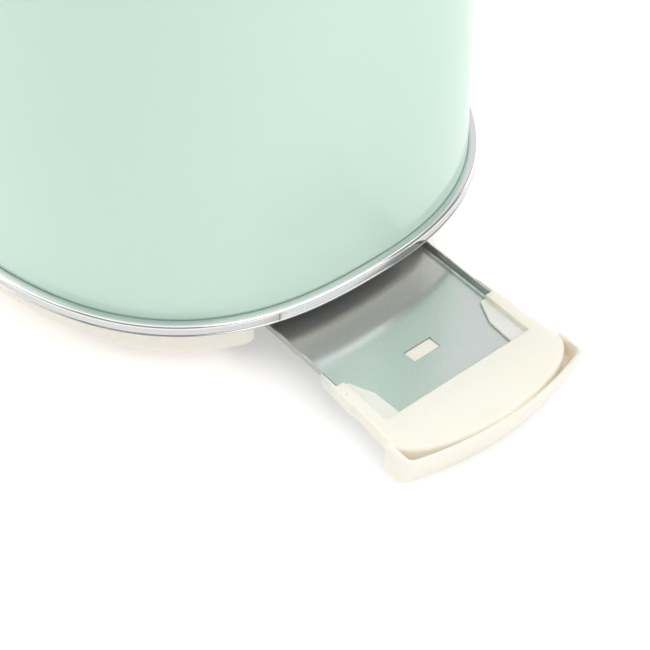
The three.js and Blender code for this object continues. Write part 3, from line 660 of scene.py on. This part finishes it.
def feet():
    """Rubber feet, each held by a cross-head screw."""
    for i in range(1, 5):
        lo, hi = span(f"foot_{i}")
        x, y = middle(f"foot_{i}")
        top, radius = hi.z, (hi.x - lo.x) / 2
        profile = [(5, 1.6), (5.2, 0.4), (5.7, 0), (radius - 2.2, 0)]
        profile += [(radius - 1.5, 0.35), (radius - 1.1, 1.0), (radius - 0.5, 2.2)]
        profile += [(radius - 0.9, 2.5), (radius - 0.9, 2.9), (radius - 0.1, 3.3)]
        profile += [(radius, top - 0.3), (radius - 0.3, top), (0, top), (0, 1.6)]
        finish(lathe(f"rubber_foot_{i}", profile, (x, y, 0), steps=72), f"foot_{i}")
        lo, hi = span(f"base_screw_{i}")
        head = (hi.x - lo.x) / 2
        dome = [(0, lo.z), (head * 0.6, lo.z + 0.15), (head - 0.3, lo.z + 0.7), (head, lo.z + 1.2)]
        dome += [(head, 4.65), (1.8, 4.65), (1.8, hi.z - 1), (0.4, hi.z), (0, hi.z)]
        screw = lathe(f"screw_{i}", dome, (x, y, 0), steps=40)
        cross = [box("tool", x - 2.2, x + 2.2, y - 0.4, y + 0.4, lo.z - 1, lo.z + 1.2)]
        cross.append(box("tool", x - 0.4, x + 0.4, y - 2.2, y + 2.2, lo.z - 1, lo.z + 1.2))
        finish(combine(screw, cross), f"base_screw_{i}")


feet()


def gland():
    """A grommet for the cord, through the base."""
    lo, hi = span("cord_gland")
    x, y = middle("cord_gland")
    radius = (hi.x - lo.x) / 2
    profile = [(3.6, lo.z + 0.4), (4.0, lo.z), (radius - 0.5, lo.z), (radius, lo.z + 0.4), (radius, 4.4)]
    profile += [(radius - 0.3, 4.65), (6.1, 4.65), (6.1, hi.z - 0.6), (5.6, hi.z)]
    profile += [(4.1, hi.z), (3.6, hi.z - 0.5)]
    finish(lathe("cord_gland_turned", profile, (x, y, 0), steps=64), "cord_gland")


gland()

# ---------------------------------------------------------------- crumb tray


def tray_sheet():
    """A thin sheet with folded sides and back, and a punched slot."""
    lo, hi = span("tray_sheet")
    bend, thick = 1.5, 0.5
    half, bottom, top = hi.y, lo.z, hi.z
    slot_x, slot_y, flange_front = (178.1, 183.5), 5.8, 177
    xs = [lo.x + bend, *np.arange(-10, 176, 4), flange_front, slot_x[0], slot_x[1], 188, 194, 200, hi.x]
    ys = [-half + bend, -29, -24, -18, -12, -slot_y, -2, 2, slot_y, 12, 18, 24, 29, half - bend]
    points, index, faces = [], {}, []

    def at(x, y, z):
        key = (round(x, 4), round(y, 4), round(z, 4))
        if key not in index:
            index[key] = len(points)
            points.append(key)
        return index[key]

    for x0, x1 in zip(xs, xs[1:]):
        for y0, y1 in zip(ys, ys[1:]):
            if x0 == slot_x[0] and abs(y0 + y1) / 2 < slot_y:
                continue
            faces.append([at(x0, y0, bottom), at(x0, y1, bottom), at(x1, y1, bottom), at(x1, y0, bottom)])
    fold = arc((0, bend), (bend, bend), -90, 0, 8)
    fold += [(bend, h) for h in np.linspace(bend, top - bottom, 4)[1:]]
    for side in (-1, 1):
        for x0, x1 in zip(xs, xs[1:]):
            if x1 > flange_front:
                continue
            for (p0, q0), (p1, q1) in zip(fold, fold[1:]):
                y0, y1 = side * (half - bend + p0), side * (half - bend + p1)
                z0, z1 = bottom + q0, bottom + q1
                faces.append([at(x0, y0, z0), at(x1, y0, z0), at(x1, y1, z1), at(x0, y1, z1)])
    for y0, y1 in zip(ys[1:-1], ys[2:-1]):
        for (p0, q0), (p1, q1) in zip(fold, fold[1:]):
            x0, x1 = lo.x + bend - p0, lo.x + bend - p1
            z0, z1 = bottom + q0, bottom + q1
            faces.append([at(x0, y0, z0), at(x1, y0, z1), at(x1, y1, z1), at(x0, y1, z0)])
    sheet = make("crumb_tray_sheet", points, faces, 80)
    work = bmesh.new()
    work.from_mesh(sheet.data)
    bmesh.ops.recalc_face_normals(work, faces=work.faces)
    level = [f for f in work.faces if abs(f.normal.z) > 0.99]
    if level[0].normal.z > 0:
        bmesh.ops.reverse_faces(work, faces=work.faces)
    work.to_mesh(sheet.data)
    work.free()
    wall = sheet.modifiers.new("wall", "SOLIDIFY")
    wall.thickness = thick * MM
    wall.offset = -1
    bake_modifiers(sheet, 50)
    finish(sheet, "tray_sheet")


tray_sheet()

HANDLE_LO, HANDLE_HI = span("tray_handle")
HANDLE_BACK = 207
HANDLE_HALF = HANDLE_HI.y
DECK_TOP = 14.4
DECK_BACK = 199
DECK_REACH = 14.4
DECK_HALF = 37.6
PANEL_FRONT = HANDLE_HI.x
PANEL_FRONT_LOW = PANEL_FRONT - 3.8
PANEL_WALL = 1.6


def panel_outline(inset, front, sag, back=HANDLE_BACK):
    """The handle's front in plan: a bow that falls back by the sag at its rounded ends."""
    half = HANDLE_HALF - inset
    corner = front - inset - sag
    points = [(back, -half), (corner - 3, -half)]
    points += [(corner - 1.7, -half + 0.15), (corner - 0.8, -half + 0.6)]
    for i in range(41):
        across = -1 + i / 20
        points.append((front - inset - sag * across**2, across * (half - 1.8)))
    points += [(corner - 0.8, half - 0.6), (corner - 1.7, half - 0.15), (corner - 3, half), (back, half)]
    return points


def deck_outline(inset, back=DECK_BACK):
    """The deck in plan: half an ellipse before a straight back."""
    bow = arc((HANDLE_BACK + 0.5, 0), (DECK_REACH - inset, DECK_HALF - inset), -90, 90, 60)
    return [(back, -DECK_HALF + inset), *bow, (back, DECK_HALF - inset)]


def tray_handle():
    """A moulded front with a finger trough behind its lip, and arms and a tongue for the sheet."""
    low, high = HANDLE_LO.z, HANDLE_HI.z
    rounding = [(0.6, low), (0.2, low + 0.2), (0, low + 0.6)]
    rounding += [(0, high - 1), (0.12, high - 0.5), (0.4, high - 0.15), (0.8, high)]
    rise = []
    for inset, z in rounding:
        share = (z - low) / (high - low)
        front = PANEL_FRONT_LOW + share * (PANEL_FRONT - PANEL_FRONT_LOW)
        rise.append(ring(panel_outline(inset, front, 6.0 - 0.8 * share), z))
    handle = loft("tray_handle_moulded", rise)
    deck = box("deck", DECK_BACK, HANDLE_BACK + 2, -36, 36, DECK_TOP - 1.9, DECK_TOP)
    inside = panel_outline(PANEL_WALL, PANEL_FRONT, 5.2, HANDLE_BACK - 1)
    drop = prism("drop", inside, DECK_TOP, high + 1)
    trough_low = panel_outline(PANEL_WALL, PANEL_FRONT_LOW + 1.2, 6.0, HANDLE_BACK - 1)
    trough = loft("trough", [ring(trough_low, 8.5), ring(inside, high + 1)])
    edge = [(0, 0), (0, DECK_TOP - 1.2), (0.15, DECK_TOP - 0.6), (0.5, DECK_TOP - 0.2), (1.1, DECK_TOP)]
    edge.append((1.1, high + 2))
    core = loft("core", [ring(deck_outline(inset), z) for inset, z in edge])
    combine(trough, [core])
    under = prism("under", deck_outline(1.8, HANDLE_BACK - 2), 0, DECK_TOP - 1.9)
    combine(handle, [drop, trough, under])
    combine(handle, [deck, *arms()], "UNION")
    sheet_lo, sheet_hi = span("tray_sheet")
    half = sheet_hi.y + 0.12
    tools = [box("tool", 160, sheet_hi.x + 0.35, -half, half, sheet_lo.z - 0.35, sheet_lo.z + 0.62)]
    tools.append(box("tool", 160, 177.35, -half, half, sheet_lo.z - 0.35, sheet_hi.z + 2))
    combine(handle, tools)
    tongue = box("tongue", 175, 208, -8, 8, sheet_lo.z - 2.15, sheet_lo.z - 0.35)
    root = box("root", sheet_hi.x + 0.35, 208, -8, 8, sheet_lo.z - 1.35, DECK_TOP - 0.5)
    section = [(178.25, 9.2), (183.35, 9.2), (183.35, sheet_lo.z + 0.55), (178.25, sheet_lo.z + 0.2)]
    boss = loft("boss", [[(x, y, z) for x, z in section] for y in (-5.65, 5.65)])
    combine(handle, [tongue, root, boss], "UNION")
    moulded(handle, 0.25, 3)
    marks = [lathe("mark", [(0, -0.12), (0.9, -0.12), (1.05, 0.3), (0, 0.3)], (207.6, -28.3, DECK_TOP))]
    marks.append(lathe("mark", [(0, -0.5), (0.45, -0.4), (0.8, 0.3), (0, 0.3)], (182.1, -34.6, DECK_TOP)))
    combine(handle, marks, sharp=60)
    finish(handle, "tray_handle")


def arms():
    """Ears beside the sheet, blocks over its edges and thin webs on its floor."""
    sheet_lo, sheet_hi = span("tray_sheet")
    outer = [(169.4, 34.8), (176, 35.6), (186.4, 36.4), (187.4, 35.9), (189, 35.9), (208, 37.4)]
    outer += [(208, 31.7), (177.6, 31.7), (177.6, 34.6), (169.4, 34.6)]
    web = [(175.8, 30.4), (186.5, 25.6), (197.4, 25), (200, 25), (200, 32.2), (177.6, 32.2)]
    found = []
    for side in (-1, 1):
        found.append(prism("arm", [(x, side * y) for x, y in outer], sheet_lo.z - 1.6, DECK_TOP))
        found.append(prism("web", [(x, side * y) for x, y in web], sheet_lo.z + 0.4, 12.3))
    return found


tray_handle()

# ---------------------------------------------------------------- controls on the lever end


def end_face(y, z):
    """The X of the housing's outer face on the lever end."""
    along = HALF_LENGTH * (1 - abs(y / HALF_WIDTH) ** POWER_Y) ** (1 / POWER_X)
    return -(along - TAPER * (z - SHELL_BOTTOM))


def lever_knob():
    """A cast knob, rounded on its front and drawn in towards the lever."""
    lo, hi = span("lever_knob")
    middle_z, half_y, half_z = (lo.z + hi.z) / 2, (hi.y - lo.y) / 2, (hi.z - lo.z) / 2
    sizes = [(0, 0.60), (0.03, 0.74), (0.09, 0.88), (0.2, 0.97), (0.35, 1)]
    sizes += [(0.6, 1), (0.8, 0.92), (0.93, 0.80), (1, 0.70)]
    rings = []
    for share, size in sizes:
        x = lo.x + share * (hi.x - lo.x)
        loop = []
        for i in range(72):
            turn = 2 * math.pi * i / 72
            y = half_y * size * power(math.cos(turn), 2 / 3)
            z = half_z * size * power(math.sin(turn), 2 / 3)
            loop.append((x, y, middle_z + z))
        rings.append(loop)
    knob = loft("lever_knob_cast", rings, sharp=50)
    combine(knob, [box("tool", -163.3, -150, -1.8, 1.8, middle_z - 3.3, middle_z + 3.3)], sharp=50)
    finish(knob, "lever_knob")


lever_knob()


def buttons():
    """Dished push buttons, each in a collar."""
    for name in ("cancel", "reheat", "defrost"):
        lo, hi = span(f"button_{name}")
        x, y, z = lo.x, (lo.y + hi.y) / 2, (lo.z + hi.z) / 2
        radius = (hi.y - lo.y) / 2
        profile = [(0, 0.45), (radius * 0.45, 0.35), (radius * 0.7, 0.1), (radius * 0.82, 0)]
        profile += [(radius * 0.93, 0.25), (radius, 0.9), (radius, 7.9)]
        profile += [(2.2, 7.9), (2.2, hi.x - lo.x), (0, hi.x - lo.x)]
        finish(lathe(f"push_button_{name}", profile, (x, y, z), "X", 64, 50), f"button_{name}")
        outer = 7.7
        collar = [(outer - 1.7, 0.4), (outer - 1.75, -0.7), (outer - 1.4, -1.25), (outer - 0.7, -1.3)]
        collar += [(outer - 0.1, -0.9), (outer, -0.2), (outer, 0.2)]
        skin = fitted_ring(f"button_collar_{name}", collar, y, z)
        finish(skin, f"button_ring_{name}")


def fitted_ring(name, section, y0, z0, steps=72):
    """A ring seated on the housing's end, from (radius, distance from the face) points."""
    rings = []
    for radius, height in section:
        loop = []
        for i in range(steps):
            turn = 2 * math.pi * i / steps
            y, z = radius * math.cos(turn), radius * math.sin(turn)
            loop.append((end_face(y0 + y, z0 + z) + height, y0 + y, z0 + z))
        rings.append(loop)
    return loft(name, rings, closed=True, sharp=50)


buttons()


def dial():
    """A grooved dial with a raised grip, in a seat."""
    lo, hi = span("browning_knob")
    z = (lo.z + hi.z) / 2
    face = end_face(0, z)
    radius = (hi.y - lo.y) / 2
    depth = face - lo.x
    profile = [(0, -depth + 2.2), (5, -depth + 2.25), (radius - 5.2, -depth + 2.6)]
    profile += [(radius - 4, -depth + 3.2), (radius - 3.3, -depth + 4.2), (radius - 2.4, -8.4)]
    profile += [(radius - 1.6, -8.0), (radius - 0.5, -7.6), (radius, -7), (radius, -3.9)]
    profile += [(radius - 0.4, -3.45), (3.4, -3.45), (3.4, -11), (0, -11)]
    knob = lathe("browning_dial", profile, (face, 0, z), "X", 96, 50)
    fin = []
    grip = [(lo.x, 1.3, 9.6), (lo.x + 0.35, 1.9, 10.4), (lo.x + 1.2, 2.2, 10.9), (face - 9, 2.5, 11)]
    for x, half_y, half_z in grip:
        loop = arc((0, 0), (half_y, half_z), 0, 360, 48)[:-1]
        fin.append([(x, p, z + q) for p, q in loop])
    wing = loft("wing", fin, sharp=50)
    grooves = []
    for i in range(48):
        turn = 2 * math.pi * i / 48
        y, up = (radius + 0.25) * math.cos(turn), (radius + 0.25) * math.sin(turn)
        grooves.append(lathe("tool", [(0, -9), (0.5, -9), (0.5, -2), (0, -2)], (face, y, z + up), "X", 8))
    combine(knob, [wing], "UNION", 40)
    combine(knob, [gather("tool", grooves)], sharp=40)
    finish(knob, "browning_knob")
    outer = radius + 3
    section = [(5, 0.3), (5, -1.0), (outer - 3.4, -1.0), (outer - 2.6, -1.7), (outer - 1.2, -1.7)]
    section += [(outer - 0.2, -1.1), (outer, -0.3), (outer, 0.2)]
    finish(fitted_ring("dial_seat", section, 0, z, steps=120), "dial_bezel")


dial()


def lever_trim():
    """The bright surround of the lever's slot."""
    lo, hi = span("lever_trim")
    z = (lo.z + hi.z) / 2
    outer = (hi.y - lo.y) / 2
    reach = (hi.z - lo.z) / 2 - outer
    section = [(2.9, 0.3), (2.9, -0.5), (3.3, -0.95), (outer - 2.2, -0.95), (outer - 1.2, -1.15)]
    section += [(outer - 0.3, -0.8), (outer, -0.2), (outer, 0.2)]
    finish(strip_ring("lever_slot_trim", section, z, reach), "lever_trim")


def strip_ring(name, section, z0, reach):
    """A ring round an upright strip with half-round ends, seated on the housing's end."""
    rings = []
    for radius, height in section:
        loop = []
        for sign, start in ((1, 0), (-1, 180)):
            for y, z in arc((0, 0), (radius, radius), start, start + 180, 24):
                loop.append((y, z + sign * reach))
        for i in range(1, 12):
            side = -1 + i / 6
            loop.insert(25 + i - 1, (-radius, -side * reach))
        for i in range(1, 12):
            side = -1 + i / 6
            loop.append((radius, side * reach))
        rings.append([(end_face(y, z0 + z) + height, y, z0 + z) for y, z in loop])
    return loft(name, rings, closed=True, sharp=50)


lever_trim()

# ---------------------------------------------------------------- toasting chamber


def bread_guides():
    """Wire grids beside each slice."""
    for node in [n for n in SLOT_OF if n.startswith("bread_guide")]:
        lo, hi = span(node)
        y, r = (lo.y + hi.y) / 2, (hi.y - lo.y) / 2
        wires = []
        loop = rounded_slot((hi.x - lo.x) / 2 - r, (hi.z - lo.z) / 2 - r, (lo.z + hi.z) / 2, 5, 6)
        wires.append(tube("wire", [(x, y, z) for x, z in loop], r, 10, True))
        for i in range(1, 6):
            x = lo.x + r + (hi.x - lo.x - 2 * r) * i / 6
            wires.append(tube("wire", [(x, y, lo.z + r), (x, y, hi.z - r)], r * 0.8, 10))
        for i in range(1, 3):
            z = lo.z + r + (hi.z - lo.z - 2 * r) * i / 3
            wires.append(tube("wire", [(lo.x + r, y, z), (hi.x - r, y, z)], r * 0.8, 10))
        finish(gather(node + "_wires", wires, 60), node)


bread_guides()


def bread_racks():
    """The rails that carry the bread, with short prongs across."""
    for node in ("bread_rack_left", "bread_rack_right"):
        lo, hi = span(node)
        y = (lo.y + hi.y) / 2
        pieces = [soften(box("rail", lo.x, hi.x, y - 1, y + 1, lo.z, lo.z + 4), 0.4)]
        bake_modifiers(pieces[0])
        for x in range(-60, 61, 20):
            reach = (hi.y - lo.y) / 2 - 1
            prong = [(x, y + shift, hi.z - 1) for shift in (-reach, 0, reach)]
            pieces.append(tube("prong", prong, 1, 12))
        finish(gather(node + "_wires", pieces), node)


bread_racks()


def return_spring():
    """A coil round the left guide rod, which on the toaster shortens as the carriage goes down; here it
    is built at one length.
    """
    lo, hi = span("return_spring")
    x, y = (lo.x + hi.x) / 2, (lo.y + hi.y) / 2
    wire = 0.45
    radius = (hi.y - lo.y) / 2 - wire - 0.02
    low, high = lo.z + wire + 0.1, hi.z - wire - 0.1
    turns, steps = 14, 14 * 28
    path = []
    for i in range(steps + 1):
        t = i / steps
        rise = low + (high - low) * t
        turn = 2 * math.pi * turns * t
        path.append((x + radius * math.cos(turn), y + radius * math.sin(turn), rise))
    spring = finish(tube("return_spring_coil", path, wire, 8), "return_spring")
    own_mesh(spring)


return_spring()


def rods():
    """The carriage's guide rods and the dial's shaft."""
    for node in ("guide_rod_left", "guide_rod_right"):
        lo, hi = span(node)
        x, y = middle(node)
        r = (hi.x - lo.x) / 2
        profile = [(0, lo.z), (r - 0.3, lo.z), (r, lo.z + 0.3)]
        profile += [(r, hi.z - 0.4), (r - 0.4, hi.z), (0, hi.z)]
        finish(lathe(node + "_turned", profile, (x, y, 0), steps=40), node)
    lo, hi = span("dial_shaft")
    z, r = (lo.z + hi.z) / 2, (hi.z - lo.z) / 2
    profile = [(0, 0), (r - 0.4, 0), (r, 0.4), (r, hi.x - lo.x), (0, hi.x - lo.x)]
    finish(lathe("dial_shaft_turned", profile, (lo.x, 0, z), "X", 40), "dial_shaft")


rods()


def magnet():
    """The electromagnet's coil, with its flanges and windings."""
    lo, hi = span("magnet_coil")
    x, y = middle("magnet_coil")
    outer = (hi.x - lo.x) / 2
    profile = [(4, lo.z), (outer, lo.z), (outer, lo.z + 1.2), (8.0, lo.z + 1.2)]
    rows = 30
    pitch = (hi.z - lo.z - 2.4) / rows
    for i in range(rows):
        z = lo.z + 1.2 + i * pitch
        profile += [(8.05, z + pitch * 0.1), (8.4, z + pitch * 0.5), (8.05, z + pitch * 0.9)]
    profile += [(8.0, hi.z - 1.2), (outer, hi.z - 1.2), (outer, hi.z), (4, hi.z)]
    finish(lathe("magnet_winding", profile, (x, y, 0), steps=56, sharp=60), "magnet_coil")


magnet()

# ---------------------------------------------------------------- the CAD pieces that stay

EDGE = {"chassis_floor": 0.2, "tray_catch": 0.15, "control_board": 0.2}
for node, obj in frame["nodes"].items():
    if obj.hide_render:
        continue
    obj.data.materials.clear()
    obj.data.materials.append(LOOKS[SLOT_OF[node]])
    if not node.startswith("heating_wire"):
        soften(obj, EDGE.get(node, 0.3))

# ---------------------------------------------------------------- floor, light and camera

# The camera looks at TARGET from DISTANCE, in metres. Azimuth 0 is on the -Y side and 90 on +X.
TARGET = Vector((0.1245, -0.0159, 0.008))
AZIMUTH, ELEVATION = math.radians(50.38), math.radians(45.84)
DISTANCE = 0.64507
FOCAL_LENGTH = 104.55


def studio_floor():
    """A pale floor, a little below the feet, that glows faintly to keep its shadows light."""
    half = 6000
    corners = [(-half, -half, 0), (half, -half, 0), (half, half, 0), (-half, half, 0)]
    floor = make("studio_floor", corners, [[0, 1, 2, 3]])
    floor.location.z = -0.1 * MM
    look = Look("studio_floor", Roughness=0.6, Specular_IOR_Level=0.2, Emission_Color=(1, 1, 1, 1))
    look.shader.inputs["Emission Strength"].default_value = 0.29
    look.colour(look.tint(look.spread(look.noise(2, 2), 0, 1), (0.84, 0.84, 0.835), (0.86, 0.86, 0.855)))
    floor.data.materials.append(look.material)


studio_floor()


def softbox(name, azimuth, elevation, distance, size, watts):
    """A white area light that faces the object, at a distance in metres."""
    a, e = math.radians(azimuth), math.radians(elevation)
    back = Vector((math.sin(a) * math.cos(e), -math.cos(a) * math.cos(e), math.sin(e)))
    light = bpy.data.lights.new(name, "AREA")
    light.shape = "RECTANGLE"
    light.size, light.size_y = size
    light.energy = watts
    obj = bpy.data.objects.new(name, light)
    obj.location = Vector((0.03, 0, 0.08)) + back * distance
    obj.rotation_mode = "QUATERNION"
    obj.rotation_quaternion = (-back).to_track_quat("-Z", "Y")
    scene.collection.objects.link(obj)


softbox("box_top", 50, 88, 1.5, (1.8, 1.8), 8.7)
softbox("box_back", 230, 45, 1.5, (1.8, 1.4), 3.9)
softbox("box_left", -42, 32, 1.4, (1.2, 1.2), 7.8)
softbox("box_right", 98, 42, 1.4, (1.3, 1.2), 7.8)
softbox("box_rear", 184, 12, 1.5, (1.2, 0.9), 4.4)

world = bpy.data.worlds.new("studio")
world.use_nodes = True
world.node_tree.nodes["Background"].inputs["Color"].default_value = (1, 1, 1, 1)
world.node_tree.nodes["Background"].inputs["Strength"].default_value = 0.34
scene.world = world
scene.view_settings.view_transform = "Standard"

camera = bpy.data.objects.new("camera", bpy.data.cameras.new("camera"))
scene.collection.objects.link(camera)
towards = Vector((
    math.sin(AZIMUTH) * math.cos(ELEVATION),
    -math.cos(AZIMUTH) * math.cos(ELEVATION),
    math.sin(ELEVATION),
))
camera.location = TARGET + towards * DISTANCE
camera.rotation_mode = "QUATERNION"
camera.rotation_quaternion = (-towards).to_track_quat("-Z", "Y")
camera.data.sensor_width = 36
camera.data.lens = FOCAL_LENGTH
camera.data.clip_start, camera.data.clip_end = 0.01, 50
scene.camera = camera
